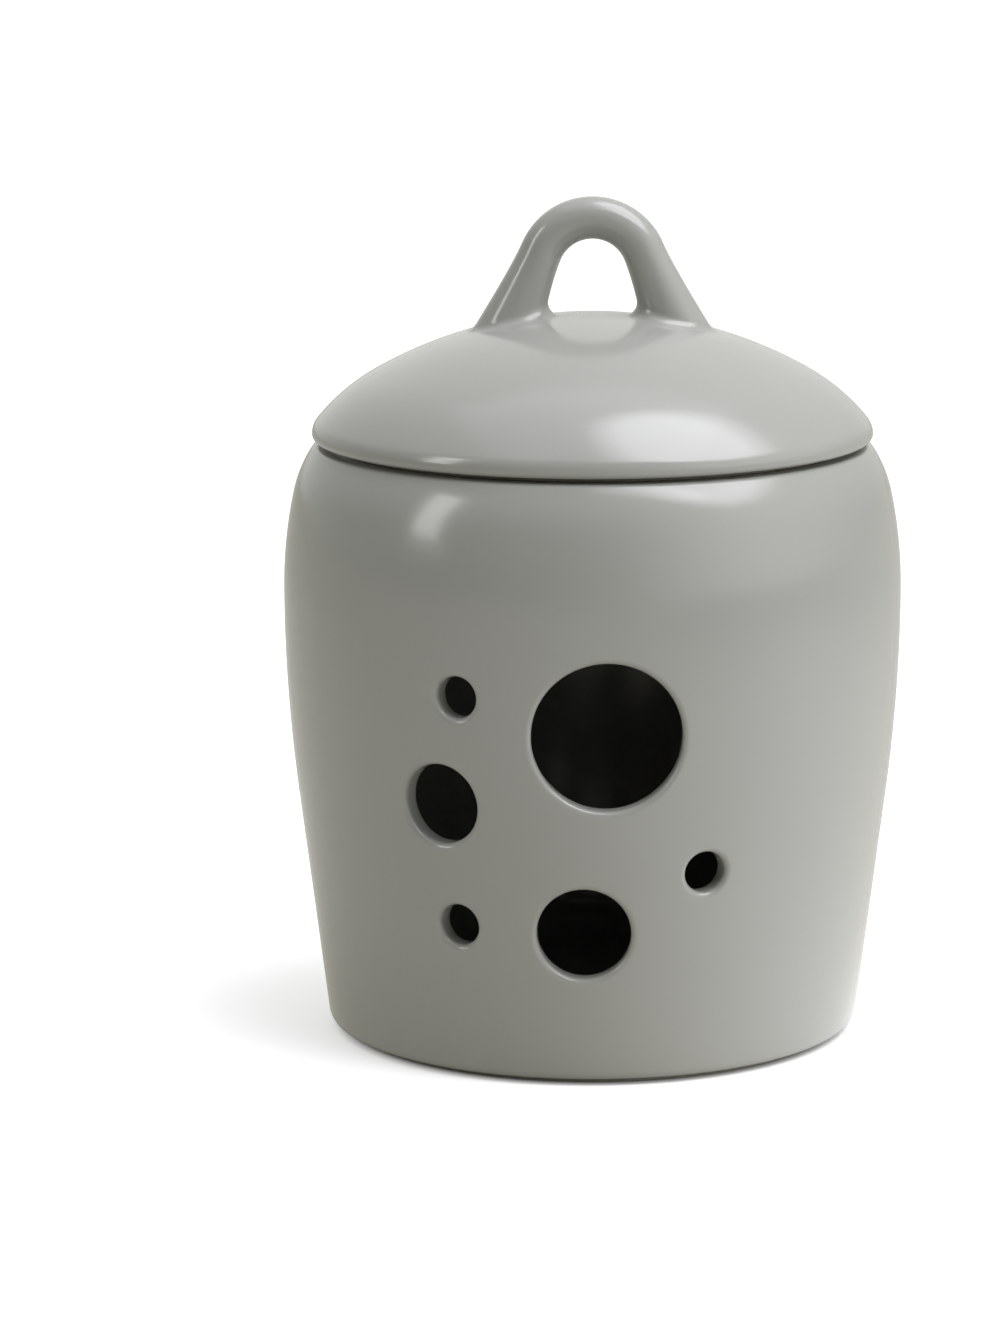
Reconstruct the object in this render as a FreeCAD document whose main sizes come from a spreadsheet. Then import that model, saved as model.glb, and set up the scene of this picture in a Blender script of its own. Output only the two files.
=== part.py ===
import FreeCAD, Part
import math
import os
import Sketcher

# Garlic keeper in glazed stoneware: a vented jar, a loose domed lid and the lid's loop handle.
# Millimetres, +Z up, with the origin at the centre of the foot ring's resting face. The vents face -Y.

V = FreeCAD.Vector

# ---------------------------------------------------------------- driving dimensions
# name, value in millimetres (bearings and leans in degrees), what it is
DIMENSIONS = [
    ("belly_radius", 61.0, "jar, widest outer radius"),
    ("belly_height", 88.2, "height of the widest place"),
    ("flank_arc", 325.6, "outer arc below the belly"),
    ("flank_start", 47.3, "height where the straight taper runs into the flank arc"),
    ("shoulder_arc", 90.8, "outer arc above the belly"),
    ("shoulder_end", 107.5, "height where the shoulder arc tightens"),
    ("neck_arc", 24.3, "outer arc that turns in to the rim"),
    ("rim_height", 116.8, "jar, top of the rim"),
    ("wall", 4.5, "jar, wall thickness all over"),
    ("floor_thickness", 6.0, "jar, floor"),
    ("mouth_radius", 48.5, "jar, inside the rim"),
    ("mouth_depth", 3.4, "straight land inside the rim that guides the lid"),
    ("lip_lean", 45.0, "slope under that land, from the vertical"),
    ("foot_height", 1.0, "foot ring, how far it lifts the body"),
    ("foot_radius", 49.2, "foot ring, outside"),
    ("foot_width", 5.0, "foot ring, width of the resting face"),
    ("foot_recess", 1.8, "hollow inside the foot ring"),
    ("base_round", 2.4, "rounding where the wall turns under"),
    ("floor_round", 8.0, "rounding between wall and floor, inside"),
    ("rim_round", 1.5, "rounding of the rim's outer edge"),
    ("mouth_round", 1.0, "rounding of the rim's inner edge"),
    ("lip_round", 5.0, "rounding under the mouth land"),
    ("foot_round", 0.6, "rounding of the foot ring"),
    ("vent_lip", 1.3, "rounding of a vent, outside"),
    ("vent_inner_lip", 0.8, "rounding of a vent, inside"),
    ("main_bearing", 2.7, "main vent, bearing from the front towards +X"),
    ("main_level", 69.5, "main vent, height of its axis"),
    ("main_bore", 28.6, "main vent, diameter"),
    ("lower_bearing", -1.7, "lower vent"),
    ("lower_level", 30.7, "lower vent"),
    ("lower_bore", 17.9, "lower vent"),
    ("side_bearing", -29.5, "side vent"),
    ("side_level", 55.1, "side vent"),
    ("side_bore", 15.5, "side vent"),
    ("upper_dot_bearing", -25.3, "small vent above the side vent"),
    ("upper_dot_level", 76.3, "small vent above the side vent"),
    ("lower_dot_bearing", -27.1, "small vent below the side vent"),
    ("lower_dot_level", 31.2, "small vent below the side vent"),
    ("right_dot_bearing", 22.0, "small vent on the other side"),
    ("right_dot_level", 42.3, "small vent on the other side"),
    ("dot_bore", 8.0, "the three small vents, diameter"),
    ("lid_top", 142.2, "lid, top of the dome"),
    ("crown_arc", 87.8, "dome, outer arc over the crown"),
    ("haunch_arc", 39.9, "dome, outer arc of the haunch"),
    ("edge_arc", 4.0, "dome, outer arc into the edge"),
    ("lid_radius", 55.2, "lid, widest radius"),
    ("edge_height", 119.0, "lid, height of its widest place"),
    ("edge_under", 1.2, "lid, rounding under its edge"),
    ("shell", 5.0, "dome, wall thickness"),
    ("bearing_radius", 51.2, "lid, outside of the ring that sits on the rim"),
    ("flange_radius", 47.0, "locating flange, outside"),
    ("flange_width", 4.2, "locating flange, thickness"),
    ("flange_depth", 8.0, "locating flange, below the rim"),
    ("flange_draft", 2.0, "locating flange, lean of its inner face"),
    ("flange_round", 1.5, "locating flange, rounding of its lower edge"),
    ("bearing_round", 0.5, "bearing ring, rounding of its outer corner"),
    ("dome_round", 7.0, "rounding between flange and dome, inside"),
    ("loop_arc", 10.9, "handle, centreline radius over the top"),
    ("loop_top", 165.3, "handle, top"),
    ("loop_turn", 66.5, "handle, how far the arc turns each side of the top"),
    ("leg_length", 17.0, "handle, straight centreline below the arc"),
    ("loop_thick", 8.3, "handle, thickness at the top"),
    ("loop_deep", 8.2, "handle, depth from front to back at the top"),
    ("leg_flare", 5.4, "handle, how much thicker the leg is at its foot"),
    ("leg_spread", 3.4, "handle, how much deeper the leg is at its foot"),
    ("luting", 2.5, "handle, radius of the slip fillet round each foot"),
]

# Round vents: name, the cell that holds the bore
VENTS = [
    ("main", "main_bore"),
    ("lower", "lower_bore"),
    ("side", "side_bore"),
    ("upper_dot", "dot_bore"),
    ("lower_dot", "dot_bore"),
    ("right_dot", "dot_bore"),
]

# Ways along a leg, as shares of its length, where the loft has a section. The last is inside the dome
LEG_STATIONS = [0.25, 0.5, 0.75, 1.0, 1.3]
FLARE_POWER = 1.6  # how suddenly a leg swells into its foot
ARC_SECTIONS = 4  # sections over each half of the arc, the top one apart


# ---------------------------------------------------------------- document and helpers
doc = FreeCAD.newDocument("garlic_keeper")
dims = doc.addObject("Spreadsheet::Sheet", "dims")
for row, (alias, value, note) in enumerate(DIMENSIONS, start=1):
    dims.set(f"A{row}", alias)
    dims.set(f"B{row}", str(value))
    dims.set(f"C{row}", note)
    dims.setAlias(f"B{row}", alias)
doc.recompute()


def size(alias):
    """The value of a cell, for placing geometry before the constraints hold it."""
    return float(dims.get(alias))


def new_body(name):
    body = doc.addObject("PartDesign::Body", name)
    body.Label = name
    return body


def plane_sketch(body, name, role):
    """A sketch on one of the body's own origin planes."""
    plane = next(item for item in body.Origin.OriginFeatures if item.Role == role)
    sketch = body.newObject("Sketcher::SketchObject", name)
    sketch.AttachmentSupport = [(plane, "")]
    sketch.MapMode = "FlatFace"
    return sketch


def add_line(sketch, start, end):
    return sketch.addGeometry(Part.LineSegment(V(*start, 0), V(*end, 0)), False)


def add_arc(sketch, centre, radius, start_angle, end_angle):
    """A counter-clockwise arc, angles in radians from the sketch's horizontal axis."""
    circle = Part.Circle(V(*centre, 0), V(0, 0, 1), radius)
    return sketch.addGeometry(Part.ArcOfCircle(circle, start_angle, end_angle), False)


def hold(sketch, name, formula, kind, *where):
    """Adds a dimension and binds it to a formula over the sheet's cells."""
    value = sketch.evalExpression(formula)
    number = float(getattr(value, "Value", value))
    if kind == "Angle":
        number = math.radians(number)
    index = sketch.addConstraint(Sketcher.Constraint(kind, *where, number))
    sketch.renameConstraint(index, name)
    sketch.setExpression(f"Constraints.{name}", formula)


def tie(sketch, kind, *where):
    sketch.addConstraint(Sketcher.Constraint(kind, *where))


def revolve(body, sketch, name):
    """Turns the sketch a full turn about the body's vertical axis."""
    solid = body.newObject("PartDesign::Revolution", name)
    solid.Profile = sketch
    solid.ReferenceAxis = (sketch, ["V_Axis"])
    solid.Angle = 360.0
    doc.recompute()
    return solid


def round_edges(body, base, name, wanted, radius_cell):
    """A fillet on the edges for which wanted(edge) is true."""
    edges = [f"Edge{i}" for i, edge in enumerate(base.Shape.Edges, start=1) if wanted(edge)]
    if not edges:
        raise RuntimeError(f"{name}: no edge found")
    fillet = body.newObject("PartDesign::Fillet", name)
    fillet.Base = (base, edges)
    fillet.Radius = size(radius_cell)
    fillet.setExpression("Radius", f"dims.{radius_cell}")
    doc.recompute()
    return fillet


def ring(edge):
    """The edge's circle about the vertical axis, or None if it is not such a ring."""
    if edge.Degenerated or not isinstance(edge.Curve, Part.Circle):
        return None
    return edge.Curve if abs(edge.Curve.Axis.z) > 0.99 else None


def ring_at(radius, height):
    """Picks the ring edge that has this radius and height."""
    def wanted(edge):
        circle = ring(edge)
        if circle is None:
            return False
        return abs(circle.Radius - radius) < 0.05 and abs(circle.Center.z - height) < 0.05
    return wanted


# ---------------------------------------------------------------- jar
def jar_section(body):
    """Half of the jar's wall, floor and foot, to the right of the axis.

    Outside it is a straight taper and three tangent arcs. Inside, each is offset by the wall, as slip
    leaves it in a mould, except at the mouth, where the rim is thickened to a straight land.
    """
    belly, belly_z = size("belly_radius"), size("belly_height")
    flank, shoulder, neck = size("flank_arc"), size("shoulder_arc"), size("neck_arc")
    wall = size("wall")
    taper = math.asin((belly_z - size("flank_start")) / flank)
    turn = math.asin((size("shoulder_end") - belly_z) / shoulder)
    flank_c = (belly - flank, belly_z)
    shoulder_c = (belly - shoulder, belly_z)
    step = shoulder - neck
    neck_c = (shoulder_c[0] + step * math.cos(turn), belly_z + step * math.sin(turn))
    rim_z = size("rim_height")
    rim_turn = math.asin((rim_z - neck_c[1]) / neck)
    foot_z, foot_r = size("foot_height"), size("foot_radius")
    foot_in = foot_r - size("foot_width")
    recess = size("foot_recess")
    floor_z = foot_z + size("floor_thickness")
    mouth, land_z = size("mouth_radius"), rim_z - size("mouth_depth")
    lean = math.radians(size("lip_lean"))

    def taper_point(centre, radius, height):
        start_z = centre[1] - radius * math.sin(taper)
        start_r = centre[0] + radius * math.cos(taper)
        return (start_r - (start_z - height) * math.tan(taper), height)

    # Where the slope under the land meets the inner neck arc
    inner_neck = neck - wall
    run, rise = math.sin(lean), -math.cos(lean)
    off_r, off_z = mouth - neck_c[0], land_z - neck_c[1]
    half_b = off_r * run + off_z * rise
    reach = -half_b + math.sqrt(half_b ** 2 - off_r ** 2 - off_z ** 2 + inner_neck ** 2)
    slope_end = (mouth + reach * run, land_z + reach * rise)
    slope_turn = math.atan2(slope_end[1] - neck_c[1], slope_end[0] - neck_c[0])

    def on(centre, radius, angle):
        return (centre[0] + radius * math.cos(angle), centre[1] + radius * math.sin(angle))

    s = plane_sketch(body, "jar_section", "XZ_Plane")
    recess_line = add_line(s, (0, recess), (foot_in, recess))
    foot_inside = add_line(s, (foot_in, recess), (foot_in, 0))
    foot_face = add_line(s, (foot_in, 0), (foot_r, 0))
    foot_outside = add_line(s, (foot_r, 0), (foot_r, foot_z))
    under = add_line(s, (foot_r, foot_z), taper_point(flank_c, flank, foot_z))
    taper_out = add_line(s, taper_point(flank_c, flank, foot_z), on(flank_c, flank, -taper))
    flank_out = add_arc(s, flank_c, flank, -taper, 0)
    shoulder_out = add_arc(s, shoulder_c, shoulder, 0, turn)
    neck_out = add_arc(s, neck_c, neck, turn, rim_turn)
    rim = add_line(s, on(neck_c, neck, rim_turn), (mouth, rim_z))
    land = add_line(s, (mouth, rim_z), (mouth, land_z))
    slope = add_line(s, (mouth, land_z), slope_end)
    neck_in = add_arc(s, neck_c, inner_neck, turn, slope_turn)
    shoulder_in = add_arc(s, shoulder_c, shoulder - wall, 0, turn)
    flank_in = add_arc(s, flank_c, flank - wall, -taper, 0)
    floor_corner = taper_point(flank_c, flank - wall, floor_z)
    taper_in = add_line(s, on(flank_c, flank - wall, -taper), floor_corner)
    floor = add_line(s, floor_corner, (0, floor_z))
    axis = add_line(s, (0, floor_z), (0, recess))

    # Corners
    chain = [recess_line, foot_inside, foot_face, foot_outside, under, taper_out]
    for first, second in zip(chain, chain[1:]):
        tie(s, "Coincident", first, 2, second, 1)
    tie(s, "Coincident", neck_out, 2, rim, 1)
    tie(s, "Coincident", rim, 2, land, 1)
    tie(s, "Coincident", land, 2, slope, 1)
    tie(s, "Coincident", slope, 2, neck_in, 2)
    tie(s, "Coincident", taper_in, 2, floor, 1)
    tie(s, "Coincident", floor, 2, axis, 1)
    tie(s, "Coincident", axis, 2, recess_line, 1)
    # Smooth joints
    tie(s, "Tangent", taper_out, 2, flank_out, 1)
    tie(s, "Tangent", flank_out, 2, shoulder_out, 1)
    tie(s, "Tangent", shoulder_out, 2, neck_out, 1)
    tie(s, "Tangent", neck_in, 1, shoulder_in, 2)
    tie(s, "Tangent", shoulder_in, 1, flank_in, 2)
    tie(s, "Tangent", flank_in, 1, taper_in, 1)
    # The wall is even: inner and outer arcs share their centres
    tie(s, "Coincident", flank_in, 3, flank_out, 3)
    tie(s, "Coincident", neck_in, 3, neck_out, 3)
    tie(s, "Parallel", taper_in, taper_out)
    for level in (recess_line, foot_face, under, rim, floor):
        tie(s, "Horizontal", level)
    for upright in (foot_inside, foot_outside, land):
        tie(s, "Vertical", upright)
    tie(s, "PointOnObject", axis, 1, -2)
    tie(s, "PointOnObject", axis, 2, -2)

    hold(s, "belly_radius", "dims.belly_radius", "DistanceX", -1, 1, flank_out, 2)
    hold(s, "belly_height", "dims.belly_height", "DistanceY", -1, 1, flank_out, 2)
    hold(s, "flank_level", "dims.belly_height", "DistanceY", -1, 1, flank_out, 3)
    hold(s, "flank_arc", "dims.flank_arc", "Radius", flank_out)
    hold(s, "flank_start", "dims.flank_start", "DistanceY", -1, 1, flank_out, 1)
    hold(s, "shoulder_arc", "dims.shoulder_arc", "Radius", shoulder_out)
    hold(s, "shoulder_end", "dims.shoulder_end", "DistanceY", -1, 1, shoulder_out, 2)
    hold(s, "neck_arc", "dims.neck_arc", "Radius", neck_out)
    hold(s, "rim_height", "dims.rim_height", "DistanceY", -1, 1, rim, 1)
    hold(s, "neck_inner", "dims.neck_arc - dims.wall", "Radius", neck_in)
    hold(s, "flank_inner", "dims.flank_arc - dims.wall", "Radius", flank_in)
    hold(s, "inner_belly", "dims.belly_height", "DistanceY", -1, 1, flank_in, 2)
    hold(s, "mouth_radius", "dims.mouth_radius", "DistanceX", -1, 1, land, 1)
    hold(s, "mouth_depth", "dims.mouth_depth", "DistanceY", land, 2, land, 1)
    hold(s, "lip_lean", "dims.lip_lean * 1 deg - 90 deg", "Angle", slope)
    hold(s, "floor_level", "dims.foot_height + dims.floor_thickness", "DistanceY", -1, 1, floor, 2)
    hold(s, "foot_height", "dims.foot_height", "DistanceY", -1, 1, foot_outside, 2)
    hold(s, "foot_radius", "dims.foot_radius", "DistanceX", -1, 1, foot_face, 2)
    hold(s, "foot_width", "dims.foot_width", "DistanceX", foot_face, 1, foot_face, 2)
    hold(s, "foot_recess", "dims.foot_recess", "DistanceY", -1, 1, recess_line, 1)
    tie(s, "PointOnObject", foot_face, 1, -1)
    return s


def bore_vent(body, name, bore_cell):
    """Bores one round vent outwards from the axis, on its own bearing."""
    s = plane_sketch(body, f"{name}_vent_sketch", "XZ_Plane")
    s.setExpression(".AttachmentOffset.Rotation.Axis.y", "1")
    s.setExpression(".AttachmentOffset.Rotation.Axis.z", "0")
    s.setExpression(".AttachmentOffset.Rotation.Angle", f"dims.{name}_bearing * 1 deg")
    centre = V(0, size(f"{name}_level"), 0)
    ring = s.addGeometry(Part.Circle(centre, V(0, 0, 1), size(bore_cell) / 2), False)
    tie(s, "PointOnObject", ring, 3, -2)
    hold(s, "level", f"dims.{name}_level", "DistanceY", -1, 1, ring, 3)
    hold(s, "bore", f"dims.{bore_cell}", "Diameter", ring)
    doc.recompute()
    before = body.Shape.Volume
    cut = body.newObject("PartDesign::Pocket", f"{name}_vent")
    cut.Profile = s
    cut.Reversed = True
    cut.setExpression("Length", "dims.belly_radius + dims.wall")
    doc.recompute()
    if before - body.Shape.Volume < 1.0:
        raise RuntimeError(f"{name} vent cuts nothing")
    return cut


def vent_mouth(outside):
    """Picks the edges where a vent breaks through the outer, or else the inner, face of the wall."""
    bores = {round(size(cell) / 2, 3) for _, cell in VENTS}

    def wanted(edge):
        if edge.Degenerated or isinstance(edge.Curve, (Part.Line, Part.Circle)):
            return False
        middle = edge.valueAt((edge.FirstParameter + edge.LastParameter) / 2)
        spread = edge.BoundBox.DiagonalLength
        if spread > 2.5 * max(bores):
            return False
        depth = math.hypot(middle.x, middle.y)
        return (depth > wall_middle(middle.z)) == outside
    return wanted


def wall_middle(height):
    """Radius of the middle of the jar's wall at a height."""
    belly, belly_z = size("belly_radius"), size("belly_height")
    flank = size("flank_arc")
    middle = flank - size("wall") / 2
    lowest = max(height, size("flank_start"))
    drop = math.sqrt(middle ** 2 - (belly_z - lowest) ** 2)
    taper = math.asin((belly_z - size("flank_start")) / flank)
    return belly - flank + drop - (lowest - height) * math.tan(taper)


def make_jar():
    body = new_body("jar")
    section = jar_section(body)
    solid = revolve(body, section, "jar_wall")
    foot_z, foot_r = size("foot_height"), size("foot_radius")
    floor_z = foot_z + size("floor_thickness")
    rim_z, mouth = size("rim_height"), size("mouth_radius")

    def widest_at(height):
        """Radius of the widest, or with several the outer, ring edge at a height."""
        rings = [circle for circle in map(ring, body.Shape.Edges) if circle is not None]
        return max(circle.Radius for circle in rings if abs(circle.Center.z - height) < 0.01)

    solid = round_edges(body, solid, "base_rounding", ring_at(widest_at(foot_z), foot_z), "base_round")
    solid = round_edges(body, solid, "floor_rounding", ring_at(widest_at(floor_z), floor_z), "floor_round")
    solid = round_edges(body, solid, "rim_rounding", ring_at(widest_at(rim_z), rim_z), "rim_round")
    solid = round_edges(body, solid, "mouth_rounding", ring_at(mouth, rim_z), "mouth_round")
    land_z = rim_z - size("mouth_depth")
    solid = round_edges(body, solid, "lip_rounding", ring_at(mouth, land_z), "lip_round")
    foot_in = foot_r - size("foot_width")
    outer_foot, inner_foot = ring_at(foot_r, 0), ring_at(foot_in, 0)
    solid = round_edges(
        body, solid, "foot_rounding", lambda e: outer_foot(e) or inner_foot(e), "foot_round"
    )
    for name, bore_cell in VENTS:
        solid = bore_vent(body, name, bore_cell)
    solid = round_edges(body, solid, "vent_lips", vent_mouth(True), "vent_lip")
    round_edges(body, solid, "vent_inner_lips", vent_mouth(False), "vent_inner_lip")
    return body


# ---------------------------------------------------------------- lid
def dome_angles():
    """Turns, from the vertical, where the crown arc meets the haunch and the haunch meets the edge."""
    crown, haunch, edge = size("crown_arc"), size("haunch_arc"), size("edge_arc")
    across = size("lid_radius") - edge
    up = size("edge_height") - (size("lid_top") - crown)
    far = math.hypot(across, up)
    long_side, short_side = crown - haunch, haunch - edge
    corner = math.acos((long_side ** 2 + far ** 2 - short_side ** 2) / (2 * long_side * far))
    crown_end = math.atan2(across, up) - corner
    side = across - long_side * math.sin(crown_end)
    return crown_end, math.asin(side / short_side)


def lid_section(body):
    """Half of the lid: three tangent arcs over the dome, a rounded edge, bearing ring and flange."""
    crown, haunch, edge = size("crown_arc"), size("haunch_arc"), size("edge_arc")
    shell, under_r = size("shell"), size("edge_under")
    top, widest, widest_z = size("lid_top"), size("lid_radius"), size("edge_height")
    crown_end, haunch_end = dome_angles()
    quarter = math.pi / 2
    crown_c = (0, top - crown)
    step = crown - haunch
    haunch_c = (step * math.sin(crown_end), crown_c[1] + step * math.cos(crown_end))
    edge_c = (widest - edge, widest_z)
    under_c = (widest - under_r, widest_z)
    under_z = widest_z - under_r
    seat_z = size("rim_height")
    flange_r = size("flange_radius")
    flange_z = seat_z - size("flange_depth")
    draft = math.tan(math.radians(size("flange_draft")))
    bore = flange_r - size("flange_width")

    # Where the flange's inner face, leaning in as it rises, meets the inner haunch arc
    inner_haunch = haunch - shell
    meet_z = flange_z
    for _ in range(40):
        meet_r = bore - (meet_z - flange_z) * draft
        meet_z = haunch_c[1] + math.sqrt(inner_haunch ** 2 - (meet_r - haunch_c[0]) ** 2)
    meet_turn = math.atan2(meet_z - haunch_c[1], meet_r - haunch_c[0])

    def on(centre, radius, from_vertical):
        turned = quarter - from_vertical
        return (centre[0] + radius * math.cos(turned), centre[1] + radius * math.sin(turned))

    s = plane_sketch(body, "lid_section", "XZ_Plane")
    crown_out = add_arc(s, crown_c, crown, quarter - crown_end, quarter)
    haunch_out = add_arc(s, haunch_c, haunch, quarter - haunch_end, quarter - crown_end)
    edge_out = add_arc(s, edge_c, edge, 0, quarter - haunch_end)
    edge_low = add_arc(s, under_c, under_r, -quarter, 0)
    bearing_r = size("bearing_radius")
    underside = add_line(s, (under_c[0], under_z), (bearing_r, under_z))
    bearing_side = add_line(s, (bearing_r, under_z), (bearing_r, seat_z))
    bearing = add_line(s, (bearing_r, seat_z), (flange_r, seat_z))
    flange_out = add_line(s, (flange_r, seat_z), (flange_r, flange_z))
    flange_end = add_line(s, (flange_r, flange_z), (bore, flange_z))
    flange_in = add_line(s, (bore, flange_z), (meet_r, meet_z))
    haunch_in = add_arc(s, haunch_c, inner_haunch, meet_turn, quarter - crown_end)
    crown_in = add_arc(s, crown_c, crown - shell, quarter - crown_end, quarter)
    axis = add_line(s, (0, top - shell), (0, top))

    tie(s, "Tangent", crown_out, 1, haunch_out, 2)
    tie(s, "Tangent", haunch_out, 1, edge_out, 2)
    tie(s, "Tangent", edge_out, 1, edge_low, 2)
    tie(s, "Tangent", edge_low, 1, underside, 1)
    chain = [underside, bearing_side, bearing, flange_out, flange_end, flange_in]
    for first, second in zip(chain, chain[1:]):
        tie(s, "Coincident", first, 2, second, 1)
    tie(s, "Coincident", flange_in, 2, haunch_in, 1)
    tie(s, "Tangent", haunch_in, 2, crown_in, 1)
    tie(s, "Coincident", crown_in, 2, axis, 1)
    tie(s, "Coincident", axis, 2, crown_out, 2)
    tie(s, "Coincident", crown_in, 3, crown_out, 3)
    tie(s, "Coincident", haunch_in, 3, haunch_out, 3)
    tie(s, "PointOnObject", crown_out, 3, -2)
    tie(s, "PointOnObject", axis, 2, -2)
    tie(s, "PointOnObject", axis, 1, -2)
    for level in (underside, bearing, flange_end):
        tie(s, "Horizontal", level)
    for upright in (bearing_side, flange_out):
        tie(s, "Vertical", upright)

    hold(s, "lid_top", "dims.lid_top", "DistanceY", -1, 1, crown_out, 2)
    hold(s, "crown_arc", "dims.crown_arc", "Radius", crown_out)
    hold(s, "haunch_arc", "dims.haunch_arc", "Radius", haunch_out)
    hold(s, "edge_arc", "dims.edge_arc", "Radius", edge_out)
    hold(s, "edge_under", "dims.edge_under", "Radius", edge_low)
    hold(s, "lid_radius", "dims.lid_radius", "DistanceX", -1, 1, edge_out, 1)
    hold(s, "edge_height", "dims.edge_height", "DistanceY", -1, 1, edge_out, 1)
    hold(s, "edge_level", "dims.edge_height", "DistanceY", -1, 1, edge_out, 3)
    hold(s, "bearing_radius", "dims.bearing_radius", "DistanceX", -1, 1, bearing, 1)
    hold(s, "seat_height", "dims.rim_height", "DistanceY", -1, 1, bearing, 1)
    hold(s, "flange_radius", "dims.flange_radius", "DistanceX", -1, 1, flange_out, 1)
    hold(s, "flange_depth", "dims.flange_depth", "DistanceY", flange_out, 2, flange_out, 1)
    hold(s, "flange_width", "dims.flange_width", "DistanceX", flange_end, 2, flange_end, 1)
    hold(s, "flange_draft", "dims.flange_draft * 1 deg + 90 deg", "Angle", flange_in)
    hold(s, "shell", "dims.crown_arc - dims.shell", "Radius", crown_in)
    return s


def make_lid():
    body = new_body("lid")
    solid = revolve(body, lid_section(body), "lid_dome")
    seat_z, flange_r = size("rim_height"), size("flange_radius")
    flange_z = seat_z - size("flange_depth")
    bore = flange_r - size("flange_width")
    outer, inner = ring_at(flange_r, flange_z), ring_at(bore, flange_z)
    solid = round_edges(body, solid, "flange_rounding", lambda e: outer(e) or inner(e), "flange_round")
    bearing_r = size("bearing_radius")
    solid = round_edges(body, solid, "bearing_rounding", ring_at(bearing_r, seat_z), "bearing_round")

    def inner_corner(edge):
        circle = ring(edge)
        return circle is not None and bore - 2 < circle.Radius < bore and circle.Center.z > flange_z + 5
    round_edges(body, solid, "dome_rounding", inner_corner, "dome_round")
    return body


# ---------------------------------------------------------------- lid handle
def loop_stations():
    """Side, bend and way of each section, from the left buried foot over the top to the right one.

    The bend is the share of the arc's turn that is behind the section, the way its share of the leg.
    """
    right = [(1, number / ARC_SECTIONS, 0.0) for number in range(1, ARC_SECTIONS + 1)]
    right += [(1, 1.0, way) for way in LEG_STATIONS]
    left = [(-1, bend, way) for _, bend, way in reversed(right)]
    return left + [(1, 0.0, 0.0)] + right


def oval_section(body, name, side, bend, way):
    """The loop's oval section at one station: square to the arc, and turning level down the leg."""
    s = plane_sketch(body, name, "YZ_Plane")
    turned = f"dims.loop_turn * {bend} * 1 deg"
    leg = f"dims.leg_length * {way}"
    across = f"{side} * (dims.loop_arc * sin({turned}) + {leg} * cos(dims.loop_turn * 1 deg))"
    middle = "dims.loop_top - dims.loop_thick / 2 - dims.loop_arc"
    up = f"{middle} + dims.loop_arc * cos({turned}) - {leg} * sin(dims.loop_turn * 1 deg)"
    down_leg = min(way, 1.0)
    s.setExpression(".AttachmentOffset.Base.z", across)
    s.setExpression(".AttachmentOffset.Base.y", up)
    s.setExpression(".AttachmentOffset.Rotation.Axis.x", "1")
    s.setExpression(".AttachmentOffset.Rotation.Axis.z", "0")
    lean = f"{turned} + (90 - dims.loop_turn) * {down_leg} * 1 deg"
    s.setExpression(".AttachmentOffset.Rotation.Angle", f"{side} * ({lean})")

    swell = down_leg ** FLARE_POWER
    thick = size("loop_thick") + size("leg_flare") * swell
    deep = size("loop_deep") + size("leg_spread") * swell
    oval = s.addGeometry(Part.Ellipse(V(0, thick / 2, 0), V(-deep / 2, 0, 0), V(0, 0, 0)), False)
    s.exposeInternalGeometry(oval)
    long_axis, short_axis = oval + 1, oval + 2
    tie(s, "Coincident", oval, 3, -1, 1)
    tie(s, "Vertical", long_axis)
    hold(s, "thickness", f"dims.loop_thick + dims.leg_flare * {swell}", "Distance", long_axis)
    hold(s, "depth", f"dims.loop_deep + dims.leg_spread * {swell}", "Distance", short_axis)
    return s


def crown_ball(body, kind, name):
    """The ball that the dome's crown is part of, added to or taken from the body."""
    ball = body.newObject(f"PartDesign::{kind}Sphere", name)
    ball.Radius = size("crown_arc")
    ball.setExpression("Radius", "dims.crown_arc")
    ball.setExpression(".Placement.Base.z", "dims.lid_top - dims.crown_arc")
    doc.recompute()
    return ball


def make_lid_handle():
    """The loop: an oval section lofted over the arch, luted to the crown with a slip fillet.

    The feet are joined to the crown's ball, the joint is filleted, and the ball is taken away again, so
    that each foot and its fillet end on the dome itself.
    """
    body = new_body("lid_handle")
    sections = [oval_section(body, f"loop_section_{number}", *station)
                for number, station in enumerate(loop_stations(), start=1)]
    doc.recompute()
    loop = body.newObject("PartDesign::AdditiveLoft", "loop")
    loop.Profile = sections[0]
    loop.Sections = sections[1:]
    doc.recompute()
    joined = crown_ball(body, "Additive", "crown")

    ball_z, crown = size("lid_top") - size("crown_arc"), size("crown_arc")
    ball_centre = V(0, 0, ball_z)
    loop_span = 2 * (size("loop_arc") + size("leg_length"))

    def foot_edge(edge):
        """An edge that runs round a foot, on the ball."""
        if edge.Degenerated or edge.BoundBox.DiagonalLength > loop_span:
            return False
        return all(abs(point.distanceToPoint(ball_centre) - crown) < 0.01 for point in edge.discretize(5))
    round_edges(body, joined, "slip_fillet", foot_edge, "luting")
    crown_ball(body, "Subtractive", "seat_on_dome")
    return body


# ---------------------------------------------------------------- build, test and write
def check(bodies):
    """Stops if any feature failed, or a piece is not one sound solid."""
    failed = [item.Name for item in doc.Objects if {"Invalid", "Error"} & set(item.State)]
    if failed:
        raise RuntimeError(f"failed features: {failed}")
    for body in bodies:
        shape = body.Shape
        if shape.isNull() or not shape.isValid() or len(shape.Solids) != 1:
            raise RuntimeError(f"{body.Label} is not one valid solid")


pieces = [make_jar(), make_lid(), make_lid_handle()]
doc.recompute()
check(pieces)
os.makedirs("parts", exist_ok=True)
for piece in pieces:
    piece.Shape.exportStep(f"parts/{piece.Label}.step")
    print(piece.Label, f"{piece.Shape.Volume:.0f} mm3", piece.Shape.BoundBox)
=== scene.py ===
import math

import bmesh
import bpy
import numpy as np
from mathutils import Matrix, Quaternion, Vector


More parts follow.
